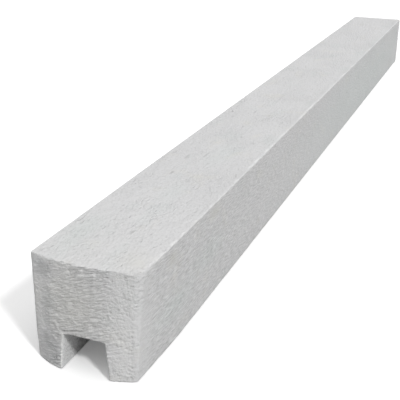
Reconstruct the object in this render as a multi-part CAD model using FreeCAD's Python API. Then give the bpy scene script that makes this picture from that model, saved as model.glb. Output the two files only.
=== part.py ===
import FreeCAD, Part
import math
import os

# A precast concrete end post for a panel fence, lying on its grooved face.
# X runs across the post, Y along it from the head to the foot, and Z up to its rear face.
# The origin is on the ground below the middle of the post.

# Shaft, in millimetres
width = 130.0
height = 120.0
length = 1750.0

# Panel groove, open at both ends, with walls drafted so that its former strips
groove_mouth = 55.0
groove_depth = 42.0
groove_draft_wide_lip_deg = 2.0
groove_draft_narrow_lip_deg = 7.5
groove_root_radius = 4.0

# The groove's mouth and the crown of the head lie on one line, beside the middle of the width
centre_offset = 5.5

# Domed head, bowed in plan: tightly at the grooved face, flatter and set back at the rear face
head_radius_grooved_face = 125.0
head_radius_rear_face = 300.0
head_setback_rear_face = 15.3

# The flanks close in towards the head, over a longer stretch at the grooved face
flank_taper_deg = 2.0
wide_flank_taper_grooved_face = 165.0
wide_flank_taper_rear_face = 30.0
narrow_flank_taper_grooved_face = 110.0
narrow_flank_taper_rear_face = 70.0

# Edges: the arris that the mould leaves, and the upright corners of the head, which are rubbed round
arris_radius = 1.5
wide_corner_grooved_face = 6.0
wide_corner_rear_face = 5.0
narrow_corner_grooved_face = 3.0
narrow_corner_rear_face = 14.0

# Places that follow from the driving dimensions
half_width = width / 2.0
head_y = -length / 2.0
foot_y = length / 2.0
mouth_wide_lip = centre_offset - groove_mouth / 2.0
mouth_narrow_lip = centre_offset + groove_mouth / 2.0
root_wide_lip = mouth_wide_lip + groove_depth * math.tan(math.radians(groove_draft_wide_lip_deg))
root_narrow_lip = mouth_narrow_lip - groove_depth * math.tan(math.radians(groove_draft_narrow_lip_deg))

# The head bows forward as one over twice its radius, times the square of the way from the crown
bow_grooved_face = 0.5 / head_radius_grooved_face
bow_rear_face = 0.5 / head_radius_rear_face

# The crown runs out over the groove, ahead of the groove's two lips, which end the length
crown_y = head_y - bow_grooved_face * (groove_mouth / 2.0) ** 2

# How far cutting shapes reach past what they cut, and the slack for finding edges by their place
overrun = height / 8.0
same_place = 0.01


def between(grooved_face, rear_face, z):
    """A value that changes evenly from the grooved face up to the rear face."""
    return grooved_face + (rear_face - grooved_face) * z / height


def head_face_y(x, z):
    """Place of the domed head face."""
    bow = between(bow_grooved_face, bow_rear_face, z)
    return crown_y + between(0.0, head_setback_rear_face, z) + bow * (x - centre_offset) ** 2


def section(y):
    """Outline of the post across its length."""
    corners = [
        (-half_width, 0.0),
        (mouth_wide_lip, 0.0),
        (root_wide_lip, groove_depth),
        (root_narrow_lip, groove_depth),
        (mouth_narrow_lip, 0.0),
        (half_width, 0.0),
        (half_width, height),
        (-half_width, height),
    ]
    points = [FreeCAD.Vector(x, y, z) for x, z in corners]
    return Part.makePolygon(points + points[:1])


def head_curve(z):
    """Bow of the head at one height, as a parabola wider than the post."""
    reach = half_width + abs(centre_offset) + overrun
    middle_y = head_face_y(centre_offset, z)
    end_y = head_face_y(centre_offset + reach, z)
    curve = Part.BezierCurve()
    curve.setPoles([
        FreeCAD.Vector(centre_offset - reach, end_y, z),
        FreeCAD.Vector(centre_offset, 2.0 * middle_y - end_y, z),
        FreeCAD.Vector(centre_offset + reach, end_y, z),
    ])
    return curve.toShape()


def head_waste():
    """What the domed, leaning head face takes off the square end of the bar."""
    face = Part.makeRuledSurface(head_curve(-overrun), head_curve(height + overrun))
    return face.extrude(FreeCAD.Vector(0.0, -length / 2.0, 0.0))


def flank_waste(side, grooved_face, rear_face):
    """What the flat taper takes off one flank near the head, over its lengths at the two faces."""
    slope = math.tan(math.radians(flank_taper_deg))
    front_y = crown_y - overrun
    crease = []
    front = []
    for z in (-overrun, height + overrun):
        crease_y = head_y + between(grooved_face, rear_face, z)
        crease.append(FreeCAD.Vector(side * half_width, crease_y, z))
        front.append(FreeCAD.Vector(side * (half_width - slope * (crease_y - front_y)), front_y, z))
    outline = [crease[0], front[0], front[1], crease[1], crease[0]]
    return Part.Face(Part.makePolygon(outline)).extrude(FreeCAD.Vector(side * half_width, 0.0, 0.0))


def spots(edge):
    """The two ends and the middle of an edge."""
    span = edge.LastParameter - edge.FirstParameter
    return [edge.valueAt(edge.FirstParameter + share * span) for share in (0.0, 0.5, 1.0)]


def lies_on(edge, distance):
    """Whether an edge lies all along where a distance is nil."""
    return all(abs(distance(spot)) < same_place for spot in spots(edge))


def on_ground(edge):
    return lies_on(edge, lambda spot: spot.z)


def on_rear_face(edge):
    return lies_on(edge, lambda spot: spot.z - height)


def on_foot_face(edge):
    return lies_on(edge, lambda spot: spot.y - foot_y)


def on_head_face(edge):
    return lies_on(edge, lambda spot: spot.y - head_face_y(spot.x, spot.z))


def round_groove_root(post):
    """Round the two inner corners that run along the groove."""
    root_edges = [
        edge
        for edge in post.Edges
        if lies_on(edge, lambda spot: spot.z - groove_depth)
        and lies_on(edge, lambda spot: min(abs(spot.x - root_wide_lip), abs(spot.x - root_narrow_lip)))
    ]
    return post.makeFillet(groove_root_radius, root_edges)


def round_head_corner(post, side, grooved_face, rear_face):
    """Round one upright corner of the head, with its radii at the two faces."""
    for edge in post.Edges:
        start, middle, end = spots(edge)
        beside_groove = side * (middle.x - centre_offset) > groove_mouth / 2.0 + same_place
        if on_head_face(edge) and beside_groove and abs(start.z - end.z) > height / 2.0:
            start_radius = between(grooved_face, rear_face, start.z)
            end_radius = between(grooved_face, rear_face, end.z)
            return post.makeFillet(start_radius, end_radius, [edge])


def round_arrises(post):
    """Round every outer edge that is still sharp; on the head face, that is the rim of the groove."""
    arrises = [
        edge
        for edge in post.Edges
        if on_ground(edge)
        or on_rear_face(edge)
        or on_foot_face(edge)
        or (on_head_face(edge) and abs(spots(edge)[1].x - centre_offset) < groove_mouth / 2.0 + same_place)
    ]
    return post.makeFillet(arris_radius, arrises)


bar = Part.Face(section(crown_y)).extrude(FreeCAD.Vector(0.0, foot_y - crown_y, 0.0))
wide_flank = flank_waste(-1.0, wide_flank_taper_grooved_face, wide_flank_taper_rear_face)
narrow_flank = flank_waste(1.0, narrow_flank_taper_grooved_face, narrow_flank_taper_rear_face)
post = round_groove_root(bar.cut([wide_flank, narrow_flank, head_waste()]).Solids[0])
post = round_head_corner(post, -1.0, wide_corner_grooved_face, wide_corner_rear_face)
post = round_head_corner(post, 1.0, narrow_corner_grooved_face, narrow_corner_rear_face)
post = round_arrises(post).Solids[0]

os.makedirs("parts", exist_ok=True)
post.exportStep("parts/post.step")
print(post.ShapeType, "valid", post.isValid(), "volume", round(post.Volume), post.optimalBoundingBox())
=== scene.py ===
import math

import bmesh
import bpy
import numpy as np
from mathutils import Matrix, Vector, noise
from mathutils.bvhtree import BVHTree


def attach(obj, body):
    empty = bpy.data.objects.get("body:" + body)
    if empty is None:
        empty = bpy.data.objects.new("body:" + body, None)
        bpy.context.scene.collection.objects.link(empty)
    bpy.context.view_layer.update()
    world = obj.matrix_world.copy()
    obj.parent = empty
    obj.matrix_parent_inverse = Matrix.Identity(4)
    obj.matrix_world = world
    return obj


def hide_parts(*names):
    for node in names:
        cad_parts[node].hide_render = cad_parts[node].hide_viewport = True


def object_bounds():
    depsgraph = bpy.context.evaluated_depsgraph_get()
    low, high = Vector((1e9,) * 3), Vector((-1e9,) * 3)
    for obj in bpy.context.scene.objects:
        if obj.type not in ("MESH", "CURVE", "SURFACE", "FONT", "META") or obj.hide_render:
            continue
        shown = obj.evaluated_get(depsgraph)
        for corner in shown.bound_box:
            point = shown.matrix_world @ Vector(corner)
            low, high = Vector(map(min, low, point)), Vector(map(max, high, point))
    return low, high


# A precast concrete end post for a panel fence, lying on its grooved face on a pale floor.
# X runs across the post, Y along it from the head to the foot, and Z up to its rear face.

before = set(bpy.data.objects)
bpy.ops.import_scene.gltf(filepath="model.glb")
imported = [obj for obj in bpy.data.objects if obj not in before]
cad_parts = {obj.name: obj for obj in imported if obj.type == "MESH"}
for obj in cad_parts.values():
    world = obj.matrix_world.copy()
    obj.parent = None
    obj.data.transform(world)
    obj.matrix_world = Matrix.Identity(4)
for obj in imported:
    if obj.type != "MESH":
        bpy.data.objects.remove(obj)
cad_low, cad_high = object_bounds()

# Lengths are in metres. Stretches and tables of places are in millimetres, along the post from its head.
mm = 0.001

# Both ends of the post lie as far from the origin, apart from the rounding at the head
foot_y = cad_high[1]
head_y = -foot_y
rear_z = cad_high[2]

# The right flank and the rear face, in millimetres
flank_mm = cad_high[0] / mm
rear_mm = rear_z / mm

# Camera, fitted to the straight edges of the post in the photograph, with its angles in radians
image_px = 400.0
focal_px = 777.85
sensor_mm = 36.0
camera_place = Vector((0.35957, -1.46322, 0.46973))
camera_yaw = -0.37056
camera_pitch = 0.38261
camera_roll = -0.01183

# Light: a soft sun from the front right, and a sky that is brightest overhead
sun_direction = Vector((0.614, -0.421, 0.665))
sun_strength = 1.692
sun_spread_deg = 7.0
sky_horizon = 0.02
sky_overhead = 1.82
sky_falloff = 3.0
white = (1.0, 1.0, 1.0, 1.0)

# Floor: the colour that the camera sees, with a little glow, and the colour that lights the post
floor_seen = (0.95, 0.95, 0.95, 1.0)
floor_glow = 0.135
floor_bounce = (0.65, 0.65, 0.65, 1.0)
floor_half_size = 20.0

# Mesh of the post: its size of face, and how much each stretch along Y is squeezed while it is made
voxel = 1.5 * mm
stretches = [
    (head_y - 5.0 * mm, 1.00),
    (head_y + 40.0 * mm, 0.25),
    (head_y + 455.0 * mm, 0.05),
    (foot_y - 13.0 * mm, 0.50),
]
last_stretch_end = foot_y + 5.0 * mm
same_place = 0.001 * mm

# Faces of the head are those that look forwards at least this much and lie this near to the front
head_facing = 0.6
head_stretch = 75.0 * mm

# The groove: its middle, its half width, where it sets in above the ground, and where its roof ends it
groove_middle = 5.5 * mm
groove_reach = 29.0 * mm
groove_start = (0.5, 2.0)
groove_top = 43.0 * mm

# The groove's left lip: its edge at the ground, how much it leans, and how far right it reaches
lip_edge = -22.4 * mm
lip_draft = 0.035
lip_right = -15.0 * mm
right_of_groove = 40.0 * mm

# The arris of the rear face at the right corner of the head, rubbed round over these stretches
rub_radius = 6.5 * mm
rub_across = (48.0, 60.0)
rub_along = (20.0, 60.0)
below_arris = 2.0 * mm
upright_slope = 0.2

# The lower left corner of the head, worn back over these stretches
worn_across = (-63.0, -42.0)
worn_along = (17.0, 43.0)
worn_up = (4.0, 36.0)

# Parts of the normal over which a face, a slanted edge, an upright one or the head's corner sets in
head_turn = (0.30, 0.75)
face_turn = (0.60, 0.90)
slant_turn = (0.06, 0.22)
upright_turn = (0.10, 0.30)
corner_turn = (0.05, 0.25)
head_edge_turn = (0.20, 0.40)
painted_highlight_turn = (0.20, 0.50)

# Relief, all of it inwards: the most that each kind of unevenness takes off
sway_depth = 0.16 * mm
grain_depth = 0.27 * mm
fold_depth = 1.50 * mm
lump_depth = 0.20 * mm
crease_depth = 2.20 * mm
chip_depth = 0.45 * mm
head_chip_depth = 0.80 * mm
corner_wear_depth = 1.80 * mm

# Front edge of the groove's roof: how far it rises in the middle and dips at its left end, and where
roof_rise = 0.80 * mm
roof_dip = 1.30 * mm
roof_left_end = (-20.0, -10.0)
roof_middle_start = (-16.0, -4.0)
roof_middle_end = (8.0, 22.0)
roof_front_end = (10.0, 75.0)
roof_level_start = (34.0, 41.0)
roof_level_end = (46.0, 62.0)

# Noise for the relief: the size of its features along X, Y and Z in millimetres, and its seed
seed_shift = (17.31, 5.93, 11.17)
fold_sway_noise = ((10.0, 30.0, 12.0), 1)
coarse_fold_noise = ((13.0, 40.0, 3.4), 2)
fine_fold_noise = ((6.5, 40.0, 1.7), 3)
fold_patch_noise = ((30.0, 60.0, 24.0), 4)
crease_noise = ((9.0, 40.0, 40.0), 6)
cloud_noise = ((11.0, 40.0, 13.0), 7)
sway_noise = ((60.0, 140.0, 60.0), 11)
grain_noise = ((2.6, 8.0, 2.6), 12)
chip_noise = ((9.0, 13.0, 9.0), 13)
nibble_noise = ((7.0, 30.0, 7.0), 14)
lump_noise = ((10.0, 40.0, 8.0), 15)

# Which part of its noise counts as a chip of an arris, and as a nibble of the head's edge
chip_range = (-0.15, 0.55)
nibble_range = (-0.2, 0.5)

# Grain of the shaft: its mean and swing, and how much of it the rubbed corner of the head loses
grain_mean = 0.30
grain_swing = 0.70
corner_calm = 0.60

# Folds of the head: their slope, how far they sway, the mean and swing of their patches, and both layers
fold_tilt = 0.30
fold_sway = 1.20 * mm
fold_patch_mean = 0.85
fold_patch_swing = 0.80
fold_patch_limits = (0.3, 1.3)
coarse_fold_gain = 2.20
coarse_fold_mean = 0.55
coarse_fold_share = 0.60
fine_fold_share = 0.55

# The height of fold that stays at the CAD surface, and the middle of the heights that the colour shows
fold_crest = 0.45
fold_middle = 0.5

# How strong folds are at both sides of the head, and the stretches over which that changes
fold_share_left = 0.42
fold_share_right = 0.34
fold_gain_left = (-50.0, -28.0)
fold_loss_right = (18.0, 42.0)

# Crease above the left end of the groove's roof: its line, how far it strays, and its ends
crease_height = 48.2 * mm
crease_slope = 0.14
crease_stray = 0.50 * mm
crease_start = (-26.0, -21.0)
crease_end = (-6.0, 6.0)

# Half width of the crease, and how many of them away the folds begin again
crease_half_width = 2.00 * mm
crease_calm = (1.0, 3.0)

# Pits of the head face, most of them on its right and low on it
pit_count = 210
pit_seed = 5
pit_sizes = (0.8 * mm, 1.6 * mm)
pit_depths = (0.35 * mm, 0.90 * mm)
pit_right = 56.0 * mm
pit_span = 98.0 * mm
pit_crowding_right = 1.5
pit_bottom = 3.0 * mm
pit_rise = 113.0 * mm
pit_crowding_low = 1.3
pit_breadth = 1.4
pit_floor = 0.2

# Lengthwise dents: the place of each across, along from the head and up, its half sizes and its depth
dents = [
    ((11.0, 106.0, rear_mm), (2.6, 9.0, 4.0), 0.40),
    ((-20.2, 82.0, rear_mm), (2.6, 11.0, 4.0), 0.28),
    ((-40.9, 73.0, rear_mm), (2.4, 8.0, 4.0), 0.30),
    ((-25.0, 298.0, rear_mm), (2.6, 11.0, 4.0), 0.35),
    ((-32.0, 368.0, rear_mm), (2.6, 16.0, 4.0), 0.25),
    ((-9.5, 386.0, rear_mm), (2.6, 24.0, 4.0), 0.25),
    ((flank_mm, 99.0, 38.0), (4.0, 18.0, 1.8), 0.16),
]

# Painted shade in the dents: the darkness of a dent for each millimetre of its depth, and the shares of its
# half sizes where it fades
dent_darkness = 2.3
dent_fade = (0.2, 0.9)

# Tone of the head face, dark below 0, partly painted light and shade across its bowed face: on its left, and
# how much it changes over stretches across it
head_tone_left = 0.94
head_tone_and_light_changes = [
    ((-18.0, -2.0), -0.45),
    ((6.0, 16.0), -0.42),
    ((24.0, 44.0), 0.65),
    ((53.0, 61.0), -0.40),
]

# Clouds on the left of the head: their tone, where they end, and how much they ripple the stains
cloud_tone = 1.10
cloud_end = (-40.0, -22.0)
cloud_ripple = 4.0 * mm

# Painted shade at the bottom of the crease
crease_painted_shade = -0.90

# Stains of the head face: the place of each across and up, its half sizes and its strength, dark below 0
stains = [
    ((-47.0, 106.0), (23.0, 18.0), -0.90),
    ((-43.0, 70.0), (10.0, 34.0), -0.65),
    ((-56.0, 80.0), (9.0, 28.0), 0.45),
    ((-33.0, 88.0), (10.0, 12.0), 0.30),
    ((-42.0, 22.0), (20.0, 38.0), -0.85),
    ((-30.0, 16.0), (12.0, 30.0), -0.65),
    ((22.0, 42.0), (13.0, 15.0), -0.22),
]
stain_tone = 2.2
endless = 1e6

# Painted shade on the rubbed right corner of the head: its place, its half sizes and how much darker it is
painted_shade_corner = ((61.0, 18.0, 119.0), (16.0, 28.0, 14.0), 0.7)

# Tone of the shaft: of the flanks, painted paler as painted light, what they gain beside the head, also
# painted light, and far off, and of the rest near it
flank_painted_light = 0.15
flank_painted_light_beside_head = 0.30
flank_gain_far_off = -0.20
rest_tone_near_head = 0.40

# Stretches along the post, in millimetres from the head
beside_head = (7.0, 75.0)
near_head = (15.0, 275.0)
past_corner = (10.0, 50.0)
past_rubbed_arris = (45.0, 85.0)
grain_end = (425.0, 495.0)
far_off = (325.0, 1075.0)

# Stretches across the post, in millimetres: the scored left of the rear face, and its rim at the right
scored_end = (-60.0, -36.0)
right_rim = (60.5, 63.0)

# Warm and cool spots: the place of each, its half sizes and its strength
warm_spots = [
    ((-8.0, 5.0, 74.0), (62.0, 200.0, 60.0), 0.7),
    ((64.0, 93.0, 103.0), (20.0, 24.0, 16.0), 0.9),
    ((64.0, 220.0, 108.0), (20.0, 36.0, 14.0), 0.9),
    ((40.0, 45.0, rear_mm), (26.0, 40.0, 20.0), 0.5),
]
cool_spots = [
    ((64.0, 100.0, 45.0), (30.0, 90.0, 30.0), 0.9),
    ((64.0, 205.0, 62.0), (30.0, 80.0, 26.0), 0.9),
    ((64.0, 1225.0, 50.0), (40.0, 800.0, 100.0), 1.3),
    ((-40.0, 85.0, rear_mm), (24.0, 80.0, 30.0), 0.9),
    ((5.0, 235.0, rear_mm), (24.0, 60.0, 30.0), 0.7),
    ((10.0, 395.0, rear_mm), (30.0, 90.0, 30.0), 0.7),
]

# How strong the flanks' streaks are beside the head, how smooth its rubbed corner is, and how coarse its face
streaks_beside_head = 0.40
corner_smooth = 0.80
head_coarse = 0.60

# Painted highlights on the edges: the groove's left arris, the line along it, and the rim of the rear face
painted_highlight_lip_arris = 0.9
painted_highlight_lip_line = 0.8
painted_highlight_rim = 0.4

# How far from the lip's edge the painted highlight line fades
lip_line = (0.6 * mm, 1.8 * mm)

# Patterns of the material: the size of their features along X, Y and Z in millimetres, and their detail
cloud_pattern = ((70.0, 150.0, 60.0), 4.0)
cool_pattern = ((26.0, 60.0, 26.0), 2.0)
warm_pattern = ((34.0, 50.0, 30.0), 3.0)
speckle_pattern = ((2.4, 4.5, 2.0), 3.0)
dash_pattern = ((2.8, 12.0, 2.8), 1.0)
streak_pattern = ((1.0, 11.0, 1.0), 2.0)
ridge_pattern = ((5.5, 20.0, 1.5), 3.0)
grit_pattern = ((1.2, 2.4, 1.0), 2.0)
patch_pattern = ((28.0, 60.0, 28.0), 2.0)
grain_pattern = ((3.0, 6.0, 3.0), 3.0)
wave_pattern = ((10.0, 17.0, 10.0), 2.0)

# Greys of the concrete, and of its painted shade, light and highlights
dark_grey = (0.604, 0.603, 0.608, 1.0)
light_grey = (0.630, 0.629, 0.634, 1.0)
cool_grey = (0.592, 0.612, 0.609, 1.0)
warm_grey = (0.645, 0.635, 0.602, 1.0)
speckle_grey = (0.43, 0.43, 0.42, 1.0)
mark_and_shade_grey = (0.40, 0.40, 0.40, 1.0)
pit_shade_grey = (0.38, 0.38, 0.375, 1.0)
hollow_shade_grey = (0.42, 0.42, 0.42, 1.0)
crest_highlight_grey = (0.81, 0.81, 0.81, 1.0)
stain_and_shade_grey = (0.478, 0.480, 0.482, 1.0)
pale_and_lit_grey = (0.712, 0.710, 0.703, 1.0)
groove_painted_light_grey = (0.82, 0.823, 0.82, 1.0)
painted_highlight_grey = (0.92, 0.92, 0.91, 1.0)
warm_cast = (0.603, 0.597, 0.566, 1.0)
cool_cast = (0.970, 0.998, 0.986, 1.0)

# Mottling: the pattern, the range over which it sets in, its most and its colour
mottling = [
    (cloud_pattern, (0.35, 0.65), 1.0, light_grey),
    (cool_pattern, (0.55, 0.68), 0.4, cool_grey),
    (warm_pattern, (0.58, 0.72), 0.5, warm_grey),
    (speckle_pattern, (0.50, 0.72), 0.4, speckle_grey),
]

# Dashes: the range over which they set in, what scored places add to it, and their strength on the flanks
dash_range = (0.65, 0.92)
dash_gain = 0.05
dash_on_flank = 0.20

# Darkness of the dashes, and how deep they cut into the grain
dash_darkness = 0.22
dash_relief = 0.65

# Painted shade in the pits: the depths over which they darken, as shares of the deepest, and how dark they
# get
pit_range = (0.2, 1.0)
pit_darkness = 0.75

# Painted shade in the hollows and painted highlight on the crests of a relief: the hollows, middle and crests
# of its pattern, and its most
pattern_levels = (0.30, 0.50, 0.70)
grit_levels = (0.30, 0.49, 0.66)
fold_levels = (0.0, fold_middle, 1.0)
streak_contrast = 0.75
ridge_contrast = 0.58
fold_contrast = 0.30
grit_contrast = 0.80

# The range of a share
whole = (0.0, 1.0)

# Dark tones, partly painted shade, and pale tones, partly painted light: their ranges, and the most that
# they, the groove's painted light and the warm spots tint
dark_tones = (-1.0, 0.0)
dark_tone_share = 0.85
pale_tones = (0.0, 1.5)
pale_tone_share = 0.90
groove_painted_light_share = 0.80
warm_share = 0.70

# Heights of the bumps, for smooth and for coarse places where these differ
grain_height = (2.2 * mm, 2.4 * mm)
wave_height = (1.7 * mm, 0.8 * mm)
streak_height = 1.3 * mm
ridge_height = 2.3 * mm

# Strength of the bumps: over the range of the patches, on the flanks, and under the folds
patch_range = (0.40, 0.62)
patch_strength = (0.50, 1.0)
grain_on_flank = 0.45
bump_under_folds = 0.50

# Gloss of the concrete
rough_speckle = (0.3, 0.7)
rough_range = (0.82, 0.95)
specular_level = 0.25


def smooth_step(value, start, end):
    """0 before start, 1 after end, and an even rise between them."""
    share = np.clip((value - start) / (end - start), 0.0, 1.0)
    return share * share * (3.0 - 2.0 * share)


def past_x(points, start, end):
    """How far each place lies past a stretch across the post, from 0 to 1; stretches are in millimetres."""
    return smooth_step(points[:, 0], start * mm, end * mm)


def past_y(points, start, end):
    """The same for a stretch along the post, in millimetres from its head."""
    return smooth_step(points[:, 1] - head_y, start * mm, end * mm)


def past_z(points, start, end):
    """The same for a stretch upwards, in millimetres from the ground."""
    return smooth_step(points[:, 2], start * mm, end * mm)


def noise_at(points, size, seed):
    """Smooth noise, about -1 to 1, with features of that size along X, Y and Z in millimetres."""
    shift = Vector([seed * step for step in seed_shift])
    scaled = points / (np.array(size) * mm)
    return np.array([noise.noise(Vector(point) + shift) for point in scaled])


def share_noise_at(points, size, seed):
    """The same noise, about 0 to 1."""
    return 0.5 + 0.5 * noise_at(points, size, seed)


def placed(place):
    """A place in the frame, from millimetres across the post, along it from its head, and up."""
    across, along, up = place
    return np.array((across * mm, head_y + along * mm, up * mm))


def bowl(points, centre, radii):
    """1 in the middle of a soft spot and 0 from its rim on; its centre and radii are in millimetres."""
    offset = (points - placed(centre)) / (np.array(radii) * mm)
    return 1.0 - smooth_step(np.sqrt((offset ** 2).sum(axis=1)), 0.0, 1.0)


def spotted(points, spots):
    """How strong a few soft spots are together at each place."""
    total = np.zeros(len(points))
    for centre, radii, strength in spots:
        total += strength * bowl(points, centre, radii)
    return np.minimum(total, 1.0)


def cad_tree(keep):
    """The faces of the CAD post that pass a test, for finding the nearest place on them."""
    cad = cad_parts["post"].data
    corners = [vertex.co for vertex in cad.vertices]
    return BVHTree.FromPolygons(corners, [face.vertices for face in cad.polygons if keep(face)])


def squeeze_table():
    """The places along Y where the squeeze changes, before it and after it."""
    plain = [start for start, scale in stretches] + [last_stretch_end]
    squeezed = [plain[0]]
    for (start, scale), end in zip(stretches, plain[1:]):
        squeezed.append(squeezed[-1] + scale * (end - start))
    return plain, squeezed


def squeezed_mesh(plain, squeezed):
    """The CAD post, cut where the squeeze changes, and squeezed along Y."""
    shape = bmesh.new()
    shape.from_mesh(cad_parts["post"].data)
    bmesh.ops.remove_doubles(shape, verts=shape.verts, dist=same_place)
    for y in plain[1:-1]:
        everything = shape.verts[:] + shape.edges[:] + shape.faces[:]
        bmesh.ops.bisect_plane(shape, geom=everything, plane_co=(0.0, y, 0.0), plane_no=(0.0, 1.0, 0.0))
    for vertex in shape.verts:
        vertex.co.y = np.interp(vertex.co.y, plain, squeezed)
    mesh = bpy.data.meshes.new("post_body")
    shape.to_mesh(mesh)
    shape.free()
    return mesh


def remeshed_post():
    """The CAD post as an even mesh: squeezed along Y, remeshed, drawn out again and laid on its faces."""
    plain, squeezed = squeeze_table()
    mesh = squeezed_mesh(plain, squeezed)
    post = bpy.data.objects.new("post_body", mesh)
    bpy.context.scene.collection.objects.link(post)
    remesh = post.modifiers.new("remesh", "REMESH")
    remesh.mode = "VOXEL"
    remesh.voxel_size = voxel
    bpy.context.view_layer.update()
    evaluated = post.evaluated_get(bpy.context.evaluated_depsgraph_get())
    even = bpy.data.meshes.new_from_object(evaluated)
    post.modifiers.clear()
    post.data = even
    even.name = "post_body"
    bpy.data.meshes.remove(mesh)
    cad_faces = cad_tree(lambda face: True)
    for vertex in even.vertices:
        vertex.co.y = np.interp(vertex.co.y, squeezed, plain)
        vertex.co = cad_faces.find_nearest(vertex.co)[0]
    return post


def refine_head(mesh):
    """Halve the faces of the head, whose relief is the finest."""
    shape = bmesh.new()
    shape.from_mesh(mesh)
    shape.normal_update()
    forwards = [face for face in shape.faces if face.normal.y < -head_facing]
    head = [face for face in forwards if face.calc_center_median().y < head_y + head_stretch]
    edges = list(dict.fromkeys(edge for face in head for edge in face.edges))
    bmesh.ops.subdivide_edges(shape, edges=edges, cuts=1, use_grid_fill=True)
    shape.to_mesh(mesh)
    shape.free()


def vertex_array(mesh, what):
    """Places or normals of a mesh's vertices."""
    values = np.zeros(len(mesh.vertices) * 3, np.float32)
    if what == "co":
        mesh.vertices.foreach_get("co", values)
    else:
        mesh.vertex_normals.foreach_get("vector", values)
    return values.reshape(-1, 3).astype(float)


def rub_corner(mesh):
    """Round the arris of the rear face more at the right corner of the head, where it is rubbed off."""
    upright_faces = cad_tree(lambda face: abs(face.normal.z) < upright_slope)
    points = vertex_array(mesh, "co")
    radii = rub_radius * past_x(points, *rub_across) * (1.0 - past_y(points, *rub_along))
    for vertex, radius in zip(mesh.vertices, radii.tolist()):
        x, y, z = vertex.co
        down = rear_z - z
        if down >= radius:
            continue
        side, outward = upright_faces.find_nearest(Vector((x, y, rear_z - below_arris)))[:2]
        inward = Vector((x - side.x, y - side.y, 0.0)).length
        reach = math.hypot(radius - inward, radius - down)
        if inward < radius < reach:
            share = radius / reach
            vertex.co -= (radius - inward) * (1.0 - share) * Vector((outward.x, outward.y, 0.0))
            vertex.co.z -= (radius - down) * (1.0 - share)


def zones(points, normals):
    """The part of the post that each vertex lies on, as shares from 0 to 1."""
    to_right = normals[:, 0]
    to_front = -normals[:, 1]
    to_top = normals[:, 2]
    slanted = smooth_step(1.0 - np.abs(normals).max(axis=1), *slant_turn)
    upright = 1.0 - smooth_step(np.abs(to_top), *upright_turn)
    on_right = points[:, 0] > right_of_groove
    inside = np.abs(points[:, 0] - groove_middle) < groove_reach
    return {
        "head": smooth_step(to_front, *head_turn),
        "flank": smooth_step(np.abs(to_right), *face_turn),
        "rear": smooth_step(to_top, *face_turn),
        "arris": slanted * (1.0 - upright * on_right),
        "corner": smooth_step(to_right * to_front, *corner_turn) * on_right,
        "groove": inside * past_z(points, *groove_start) * (points[:, 2] < groove_top),
    }


def fold_share(points):
    """How strong the folds are across the head: most in the middle, least on its right."""
    left = fold_share_left + (1.0 - fold_share_left) * past_x(points, *fold_gain_left)
    right = 1.0 - (1.0 - fold_share_right) * past_x(points, *fold_loss_right)
    return left * right


def folds(points):
    """Height of the short folds that run across the head face."""
    rise = fold_sway * noise_at(points, *fold_sway_noise) - fold_tilt * points[:, 0]
    bent = points + np.outer(rise, (0.0, 0.0, 1.0))
    coarse = coarse_fold_gain * np.abs(noise_at(bent, *coarse_fold_noise)) - coarse_fold_mean
    fine = noise_at(bent, *fine_fold_noise)
    patchy = fold_patch_mean + fold_patch_swing * noise_at(points, *fold_patch_noise)
    strength = np.clip(patchy, *fold_patch_limits) * fold_share(points)
    return strength * (coarse_fold_share * coarse + fine_fold_share * fine)


def pits(points):
    """Depth of the small round pits in the head face."""
    random = np.random.default_rng(pit_seed)
    depth = np.zeros(len(points))
    for _ in range(pit_count):
        x = pit_right - pit_span * random.random() ** pit_crowding_right
        z = pit_bottom + pit_rise * random.random() ** pit_crowding_low
        radius = random.uniform(*pit_sizes)
        deep = random.uniform(*pit_depths)
        away = np.hypot((points[:, 0] - x) / (pit_breadth * radius), (points[:, 2] - z) / radius)
        depth += deep * (1.0 - smooth_step(away, pit_floor, 1.0))
    return depth


def roof_crease(points):
    """Depth of the crease in the head face above the left end of the groove's roof, and how near it is."""
    length = past_x(points, *crease_start) * (1.0 - past_x(points, *crease_end))
    line = crease_height + crease_slope * points[:, 0] + crease_stray * noise_at(points, *crease_noise)
    away = np.abs(points[:, 2] - line) / crease_half_width
    depth = crease_depth * length * (1.0 - smooth_step(away, 0.0, 1.0))
    return depth, length * (1.0 - smooth_step(away, *crease_calm))


def roof_sway(points):
    """How far the front edge of the groove's roof lies above or below its even line."""
    left_end = 1.0 - past_x(points, *roof_left_end)
    middle = past_x(points, *roof_middle_start) * (1.0 - past_x(points, *roof_middle_end))
    front = 1.0 - past_y(points, *roof_front_end)
    level = past_z(points, *roof_level_start) * (1.0 - past_z(points, *roof_level_end))
    return (roof_rise * middle - roof_dip * left_end) * front * level


def corner_wear(points):
    """How far the lower left corner of the head is worn back along the post."""
    across = 1.0 - past_x(points, *worn_across)
    along = 1.0 - past_y(points, *worn_along)
    up = 1.0 - past_z(points, *worn_up)
    return corner_wear_depth * across * along * up


def shaft_depth(points, normals, zone, chips):
    """Depth of the unevenness all over: a slow sway, grain near the head, chipped arrises and dents."""
    off_head = 1.0 - zone["head"]
    near = (1.0 - past_y(points, *grain_end)) * (1.0 - corner_calm * zone["corner"])
    grain = grain_mean + grain_swing * noise_at(points, *grain_noise)
    nibbles = smooth_step(noise_at(points, *nibble_noise), *nibble_range)
    head_edge = zone["arris"] * smooth_step(-normals[:, 1], *head_edge_turn)
    depth = sway_depth * share_noise_at(points, *sway_noise)
    depth += grain_depth * near * grain * off_head
    depth += chip_depth * chips * zone["arris"] * off_head
    depth += head_chip_depth * nibbles * head_edge
    for centre, radii, deepest in dents:
        depth += deepest * mm * bowl(points, centre, radii)
    return depth


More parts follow.
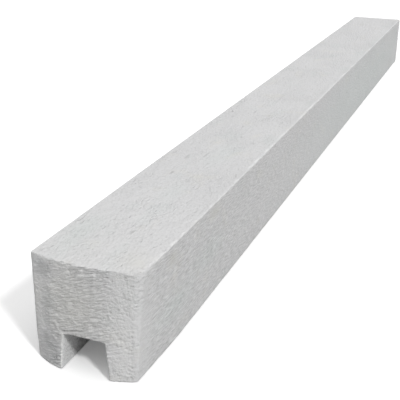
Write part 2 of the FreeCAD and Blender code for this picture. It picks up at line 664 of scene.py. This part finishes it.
def head_shade(points):
    """How much darker, below 0, or lighter, above 0, the head face is from place to place: its clouds and
    stains, and steps across it that are partly painted light and shade.
    """
    cloudy = noise_at(points, *cloud_noise)
    shade = head_tone_left + cloud_tone * cloudy * (1.0 - past_x(points, *cloud_end))
    for stretch, change in head_tone_and_light_changes:
        shade += change * past_x(points, *stretch)
    rippled = points + cloud_ripple * cloudy[:, None]
    for (across, up), (half_across, half_up), strength in stains:
        spot = bowl(rippled, (across, 0.0, up), (half_across, endless, half_up))
        shade += stain_tone * strength * spot
    return shade


def shaft_shade(points, on_flank):
    """Tone of the shaft: paler near its head, painted light on the flanks, most on the right flank right
    beside the head, and duller far off.
    """
    beside = (1.0 - past_y(points, *beside_head)) * (points[:, 0] > 0.0)
    near = 1.0 - past_y(points, *near_head)
    flank = flank_painted_light + flank_painted_light_beside_head * beside + flank_gain_far_off * past_y(points, *far_off)
    return on_flank * flank + (1.0 - on_flank) * rest_tone_near_head * near


def streak_share(points, zone):
    """How strong the flanks' streaks are: weak right beside the head and far off."""
    gain = 1.0 - streaks_beside_head
    strength = streaks_beside_head + gain * (past_y(points, *past_corner) - past_y(points, *far_off))
    return zone["flank"] * (1.0 - zone["head"]) * (1.0 - corner_smooth * zone["corner"]) * strength


def painted_highlight_edges(points, normals, zone, chips):
    """Where edges are pale with painted highlights: the arris between rear face and right flank, and the
    groove's left lip.
    """
    along = past_y(points, *past_rubbed_arris)
    to_right = smooth_step(normals[:, 0], *painted_highlight_turn)
    rear_arris = smooth_step(normals[:, 2], *painted_highlight_turn) * along
    lip_arris = smooth_step(-normals[:, 1], *painted_highlight_turn) * (points[:, 0] < lip_right)
    arris = zone["arris"] * to_right * (rear_arris + painted_highlight_lip_arris * lip_arris)
    off_line = np.abs(points[:, 0] - lip_edge - lip_draft * points[:, 2])
    line = zone["head"] * (1.0 - smooth_step(off_line, *lip_line)) * (points[:, 2] < groove_top)
    rim = zone["rear"] * past_x(points, *right_rim) * along * chips
    return np.maximum.reduce([arris, painted_highlight_lip_line * line, painted_highlight_rim * rim])


def relieve(mesh):
    """Give the clean cast form its unevenness, all of it inwards, and keep what the material needs."""
    points = vertex_array(mesh, "co")
    normals = vertex_array(mesh, "normal")
    zone = zones(points, normals)
    on_head = zone["head"]
    chips = smooth_step(noise_at(points, *chip_noise), *chip_range)
    pitted = on_head * pits(points)
    crease, near_crease = roof_crease(points)
    folded = folds(points) * (1.0 - near_crease)
    lumps = share_noise_at(points, *lump_noise)
    depth = shaft_depth(points, normals, zone, chips) + pitted
    depth += on_head * (fold_depth * (fold_crest - folded) + lump_depth * lumps + crease)
    moved = points - normals * np.maximum(depth, 0.0)[:, None]
    moved[:, 1] += corner_wear(points)
    moved[:, 2] += roof_sway(points)
    mesh.vertices.foreach_set("co", moved.astype(np.float32).ravel())

    # Tones: painted shade in the crease and on the rubbed corner, painted light on the flanks, and across the
    # head partly painted light and shade
    head_tone = head_shade(points) + crease_painted_shade * crease / crease.max()
    tone = on_head * head_tone + (1.0 - on_head) * shaft_shade(points, zone["flank"])
    kept = {
        "coarse": np.maximum(zone["flank"], head_coarse * on_head) - corner_smooth * zone["corner"],
        "pits": pitted / pit_depths[1],
        "groove": zone["groove"] * (1.0 - on_head),
        "folds": on_head * fold_share(points),
        "crest": fold_middle + on_head * np.clip(folded, -fold_middle, fold_middle),
        "shade": tone - spotted(points, [painted_shade_corner]),
        "scored": zone["rear"] * (1.0 - past_x(points, *scored_end)),
        "warm": spotted(points, warm_spots),
        "cool": spotted(points, cool_spots),
        "flank": streak_share(points, zone),
        "painted_highlight": painted_highlight_edges(points, normals, zone, chips),
    }
    for name, values in kept.items():
        kept_at_vertices = mesh.attributes.new(name, "FLOAT", "POINT")
        kept_at_vertices.data.foreach_set("value", values.astype(np.float32))
    mesh.update()


def node(tree, kind, inputs=None, **settings):
    """Add a shader node with its settings; an input is a number, a colour or another node's output."""
    made = tree.nodes.new(kind)
    for name, value in settings.items():
        setattr(made, name, value)
    for name, value in (inputs or {}).items():
        fill(tree, made.inputs[name], value)
    return made


def fill(tree, socket, value):
    """Give a socket its number or colour, or link another node's output to it."""
    if isinstance(value, bpy.types.NodeSocket):
        tree.links.new(value, socket)
    else:
        socket.default_value = value


def calculate(tree, operation, first, second):
    """One sum of two values."""
    return node(tree, "ShaderNodeMath", {0: first, 1: second}, operation=operation).outputs["Value"]


def spread(tree, value, source, target):
    """Stretch a value from one range to another, and hold it beyond the ends."""
    made = node(tree, "ShaderNodeMapRange", {
        "Value": value,
        "From Min": source[0],
        "From Max": source[1],
        "To Min": target[0],
        "To Max": target[1],
    })
    return made.outputs["Result"]


def pattern(tree, place, size, detail, tilt=0.0):
    """Noise from 0 to 1 with features of that size in millimetres, which can rise along X by a tilt."""
    mapped = node(tree, "ShaderNodeMapping", {
        "Vector": place,
        "Rotation": (0.0, -math.atan(tilt), 0.0),
        "Scale": [length * mm for length in size],
    }, vector_type="TEXTURE")
    made = node(tree, "ShaderNodeTexNoise", {
        "Vector": mapped.outputs["Vector"],
        "Scale": 1.0,
        "Detail": detail,
    })
    return made.outputs["Fac"]


def tint(tree, share, under, over, blend="MIX"):
    """Lay one colour over another by a share."""
    made = node(tree, "ShaderNodeMix", data_type="RGBA", blend_type=blend)
    for name, value in (("Factor", share), ("A", under), ("B", over)):
        fill(tree, next(socket for socket in made.inputs if socket.name == name and socket.enabled), value)
    return next(socket for socket in made.outputs if socket.enabled)


def attribute(tree, name):
    """A number kept at the mesh's vertices."""
    return node(tree, "ShaderNodeAttribute", attribute_name=name).outputs["Fac"]


def paint_relief_shading(tree, colour, height, levels, where, most):
    """Paint shade into the hollows and highlight onto the crests of a relief, by at most that share."""
    low, middle, high = levels
    for end, over in ((low, hollow_shade_grey), (high, crest_highlight_grey)):
        share = spread(tree, height, (middle, end), (0.0, most))
        colour = tint(tree, calculate(tree, "MULTIPLY", share, where), colour, over)
    return colour


def bump(tree, height, strength, distance, under=None):
    """Tilt the surface by the slope of a height, on top of an earlier tilt."""
    inputs = {"Strength": strength, "Distance": distance, "Height": height}
    if under:
        inputs["Normal"] = under
    return node(tree, "ShaderNodeBump", inputs).outputs["Normal"]


def dent_painted_shade(tree, place):
    """Painted shade in the lengthwise dents: each is darkest at its bottom, the more so the deeper it is."""
    total = 0.0
    for centre, radii, deepest in dents:
        mapped = node(tree, "ShaderNodeMapping", {
            "Vector": place,
            "Location": Vector(placed(centre)),
            "Scale": Vector(radii) * mm,
        }, vector_type="TEXTURE")
        away = node(tree, "ShaderNodeVectorMath", {0: mapped.outputs["Vector"]}, operation="LENGTH")
        mark = spread(tree, away.outputs["Value"], dent_fade, (dent_darkness * deepest, 0.0))
        total = calculate(tree, "ADD", mark, total)
    return total


def dash_marks(tree, place):
    """Short lengthwise marks: more of them where the rear face is scored, and faint ones on the flanks."""
    scored = spread(tree, attribute(tree, "scored"), whole, (0.0, dash_gain))
    level = calculate(tree, "ADD", pattern(tree, place, *dash_pattern), scored)
    strength = spread(tree, attribute(tree, "flank"), whole, (1.0, dash_on_flank))
    return calculate(tree, "MULTIPLY", spread(tree, level, dash_range, whole), strength)


def concrete_colour(tree, place, dashes, streaks, ridges):
    """Mottled grey with its marks, painted shade in its pits and dents, painted shade and highlight on its
    relief, its tones with painted light and shade, painted light in the groove, painted highlights on its
    edges, and its warm and cool casts.
    """
    colour = dark_grey
    for kind, source, most, over in mottling:
        colour = tint(tree, spread(tree, pattern(tree, place, *kind), source, (0.0, most)), colour, over)
    colour = tint(tree, spread(tree, dashes, whole, (0.0, dash_darkness)), colour, mark_and_shade_grey)
    colour = tint(tree, dent_painted_shade(tree, place), colour, mark_and_shade_grey)
    # Painted shade in the pits
    pitted = spread(tree, attribute(tree, "pits"), pit_range, (0.0, pit_darkness))
    colour = tint(tree, pitted, colour, pit_shade_grey)

    folded = attribute(tree, "folds")
    crest = attribute(tree, "crest")
    # Painted shade and highlight on the flanks' streaks, the head's ridges and its folds
    colour = paint_relief_shading(tree, colour, streaks, pattern_levels, attribute(tree, "flank"), streak_contrast)
    colour = paint_relief_shading(tree, colour, ridges, pattern_levels, folded, ridge_contrast)
    colour = paint_relief_shading(tree, colour, crest, fold_levels, folded, fold_contrast)

    shade = attribute(tree, "shade")
    in_groove = attribute(tree, "groove")
    grit = pattern(tree, place, *grit_pattern)
    # Dark tones, from stains and painted shade, and pale tones, partly painted light
    colour = tint(tree, spread(tree, shade, dark_tones, (dark_tone_share, 0.0)), colour, stain_and_shade_grey)
    colour = tint(tree, spread(tree, shade, pale_tones, (0.0, pale_tone_share)), colour, pale_and_lit_grey)
    # Painted light inside the groove, and painted shade and highlight on its grit
    colour = tint(tree, spread(tree, in_groove, whole, (0.0, groove_painted_light_share)), colour, groove_painted_light_grey)
    colour = paint_relief_shading(tree, colour, grit, grit_levels, in_groove, grit_contrast)
    # Painted highlights on the edges
    colour = tint(tree, spread(tree, attribute(tree, "painted_highlight"), whole, whole), colour, painted_highlight_grey)
    colour = tint(tree, spread(tree, attribute(tree, "warm"), whole, (0.0, warm_share)), colour, warm_cast)
    return tint(tree, attribute(tree, "cool"), colour, cool_cast, "MULTIPLY")


def concrete_bumps(tree, place, dashes, streaks, ridges):
    """Grain in patches, soft waves, streaks on the flanks and ridges on the head, one over the other."""
    on_flank = attribute(tree, "flank")
    folded = attribute(tree, "folds")
    coarse = attribute(tree, "coarse")
    off_folds = spread(tree, folded, whole, (1.0, bump_under_folds))
    off_flank = spread(tree, on_flank, whole, (1.0, grain_on_flank))
    patches = spread(tree, pattern(tree, place, *patch_pattern), patch_range, patch_strength)
    strength = calculate(tree, "MULTIPLY", calculate(tree, "MULTIPLY", patches, off_flank), off_folds)
    cut = spread(tree, dashes, whole, (0.0, dash_relief))
    grain = calculate(tree, "SUBTRACT", pattern(tree, place, *grain_pattern), cut)
    waves = pattern(tree, place, *wave_pattern)
    tilted = bump(tree, grain, strength, spread(tree, coarse, whole, grain_height))
    tilted = bump(tree, waves, off_folds, spread(tree, coarse, whole, wave_height), tilted)
    tilted = bump(tree, streaks, on_flank, streak_height, tilted)
    return bump(tree, ridges, folded, ridge_height, tilted)


def new_material(name):
    """An empty material and its tree of nodes."""
    material = bpy.data.materials.new(name)
    material.use_nodes = True
    material.node_tree.nodes.clear()
    return material, material.node_tree


def concrete():
    """Pale grey cast concrete: mottled, marked lengthwise, streaked on its flanks, wrinkled on its head."""
    material, tree = new_material("concrete")
    place = node(tree, "ShaderNodeTexCoord").outputs["Object"]
    dashes = dash_marks(tree, place)
    streaks = pattern(tree, place, *streak_pattern)
    ridges = pattern(tree, place, *ridge_pattern, fold_tilt)
    speckle = pattern(tree, place, *speckle_pattern)
    surface = node(tree, "ShaderNodeBsdfPrincipled", {
        "Base Color": concrete_colour(tree, place, dashes, streaks, ridges),
        "Roughness": spread(tree, speckle, rough_speckle, rough_range),
        "Specular IOR Level": specular_level,
        "Normal": concrete_bumps(tree, place, dashes, streaks, ridges),
    })
    node(tree, "ShaderNodeOutputMaterial", {"Surface": surface.outputs["BSDF"]})
    return material


def seen_ray(tree):
    """1 for what the camera sees, straight or through gloss and glass, and 0 for light that bounces."""
    path = node(tree, "ShaderNodeLightPath")
    share = path.outputs["Is Camera Ray"]
    for name in ("Is Glossy Ray", "Is Transmission Ray"):
        share = calculate(tree, "MAXIMUM", share, path.outputs[name])
    return share


def pale_floor():
    """A plain pale floor: what the camera sees glows a little, and what lights the post doesn't."""
    material, tree = new_material("pale_floor")
    bounce = node(tree, "ShaderNodeBsdfDiffuse", {"Color": floor_bounce})
    seen = node(tree, "ShaderNodeBsdfDiffuse", {"Color": floor_seen})
    glow = node(tree, "ShaderNodeEmission", {"Color": floor_seen, "Strength": floor_glow})
    lifted = node(tree, "ShaderNodeAddShader", {0: seen.outputs["BSDF"], 1: glow.outputs["Emission"]})
    mixed = node(tree, "ShaderNodeMixShader", {
        "Fac": seen_ray(tree),
        1: bounce.outputs["BSDF"],
        2: lifted.outputs["Shader"],
    })
    node(tree, "ShaderNodeOutputMaterial", {"Surface": mixed.outputs["Shader"]})
    return material


def make_floor():
    """The floor, which takes the post's shadow."""
    shape = bmesh.new()
    bmesh.ops.create_grid(shape, x_segments=1, y_segments=1, size=floor_half_size)
    mesh = bpy.data.meshes.new("floor")
    shape.to_mesh(mesh)
    shape.free()
    floor = bpy.data.objects.new("floor", mesh)
    bpy.context.scene.collection.objects.link(floor)
    mesh.materials.append(pale_floor())


def make_sky():
    """Soft light from all round, with a white background for the camera."""
    world = bpy.data.worlds.new("studio")
    bpy.context.scene.world = world
    world.use_nodes = True
    tree = world.node_tree
    tree.nodes.clear()
    direction = node(tree, "ShaderNodeTexCoord").outputs["Generated"]
    height = node(tree, "ShaderNodeSeparateXYZ", {"Vector": direction}).outputs["Z"]
    steep = node(tree, "ShaderNodeMath", {0: height, 1: sky_falloff}, operation="POWER", use_clamp=True)
    light = node(tree, "ShaderNodeBackground", {
        "Color": white,
        "Strength": spread(tree, steep.outputs["Value"], whole, (sky_horizon, sky_overhead)),
    })
    backdrop = node(tree, "ShaderNodeBackground", {"Color": white, "Strength": 1.0})
    mixed = node(tree, "ShaderNodeMixShader", {
        "Fac": seen_ray(tree),
        1: light.outputs["Background"],
        2: backdrop.outputs["Background"],
    })
    node(tree, "ShaderNodeOutputWorld", {"Surface": mixed.outputs["Shader"]})


def make_sun():
    """The one lamp, soft enough to blur the shadow's edge."""
    lamp = bpy.data.lights.new("sun", "SUN")
    lamp.energy = sun_strength
    lamp.angle = math.radians(sun_spread_deg)
    sun = bpy.data.objects.new("sun", lamp)
    sun.rotation_euler = sun_direction.to_track_quat("Z", "Y").to_euler()
    bpy.context.scene.collection.objects.link(sun)


def make_camera():
    """The camera of the photograph."""
    data = bpy.data.cameras.new("camera")
    data.sensor_width = sensor_mm
    data.lens = focal_px / image_px * sensor_mm
    flat = math.cos(camera_pitch)
    forward = Vector((math.sin(camera_yaw) * flat, math.cos(camera_yaw) * flat, -math.sin(camera_pitch)))
    level = Vector((math.cos(camera_yaw), -math.sin(camera_yaw), 0.0))
    down = forward.cross(level)
    right = math.cos(camera_roll) * level + math.sin(camera_roll) * down
    up = math.sin(camera_roll) * level - math.cos(camera_roll) * down
    axes = Matrix((right, up, -forward)).transposed().to_4x4()
    camera = bpy.data.objects.new("camera", data)
    camera.matrix_world = Matrix.Translation(camera_place) @ axes
    bpy.context.scene.collection.objects.link(camera)
    bpy.context.scene.camera = camera


def make_post():
    """The post as cast: the CAD form with the relief and finish of concrete."""
    post = remeshed_post()
    refine_head(post.data)
    rub_corner(post.data)
    relieve(post.data)
    post.data.shade_smooth()
    post.data.materials.clear()
    post.data.materials.append(concrete())
    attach(post, "root")
    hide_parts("post")


make_post()
make_floor()
make_sky()
make_sun()
make_camera()
bpy.context.scene.view_settings.view_transform = "Standard"
